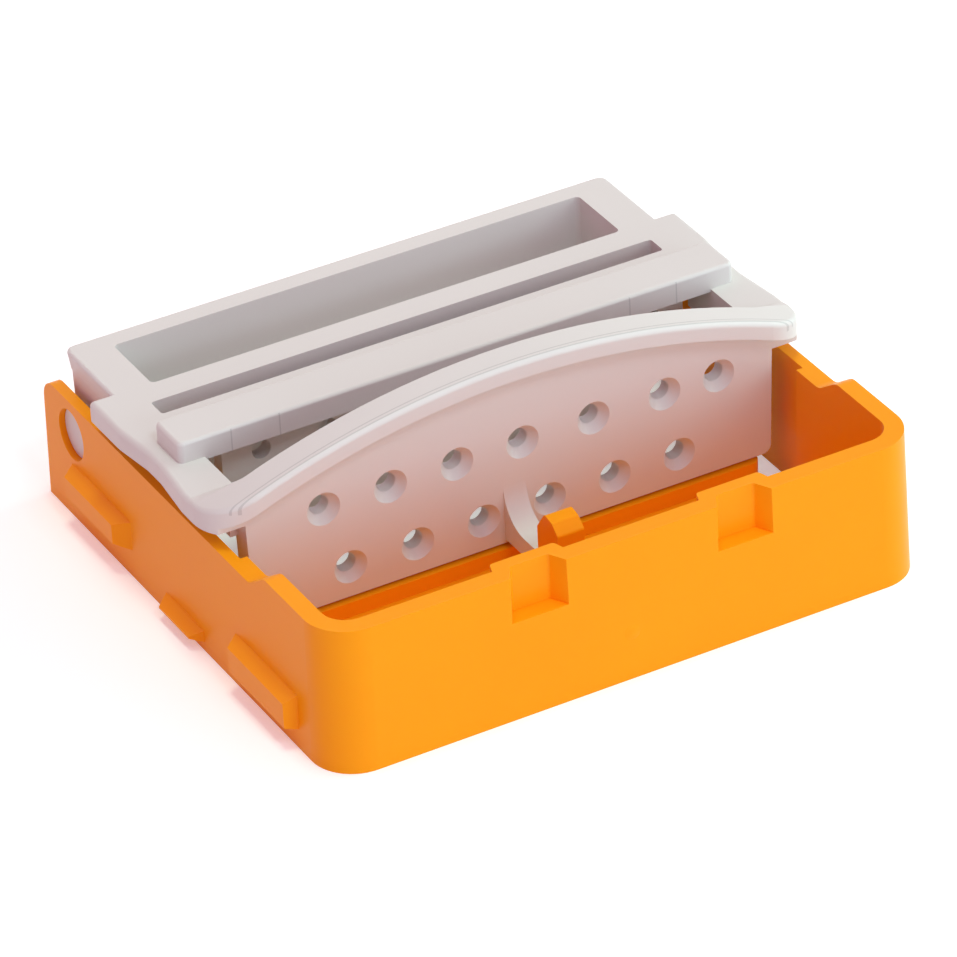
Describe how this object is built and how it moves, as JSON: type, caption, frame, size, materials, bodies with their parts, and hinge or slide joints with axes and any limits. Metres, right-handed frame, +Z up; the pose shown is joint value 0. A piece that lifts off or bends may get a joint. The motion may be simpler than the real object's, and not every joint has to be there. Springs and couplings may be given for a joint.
{
  "type": "root canal file holder",
  "caption": "Desk tray with a swinging insert whose pierced front panel carries root canal files upright or lying down.",
  "frame": {"origin": "middle of the footprint on the surface the tray stands on", "axes": "+X along the front wall to the right, +Y from the front wall to the open back, +Z up"},
  "size_m": [0.0624, 0.0554, 0.0223],
  "materials": {
    "tray_plastic": "smooth orange moulding with a soft gloss",
    "insert_plastic": "light warm grey moulding with a satin surface"
  },
  "bodies": {
    "tray": {"base_tray": "tray_plastic"},
    "insert": {"file_insert": "insert_plastic"}
  },
  "joints": [
    {"name": "insert_swing", "type": "hinge", "parent": "tray", "child": "insert", "pos_m": [0, 0.0222, 0.00895], "axis": [-1, 0, 0], "range_deg": [0, 90]}
  ]
}
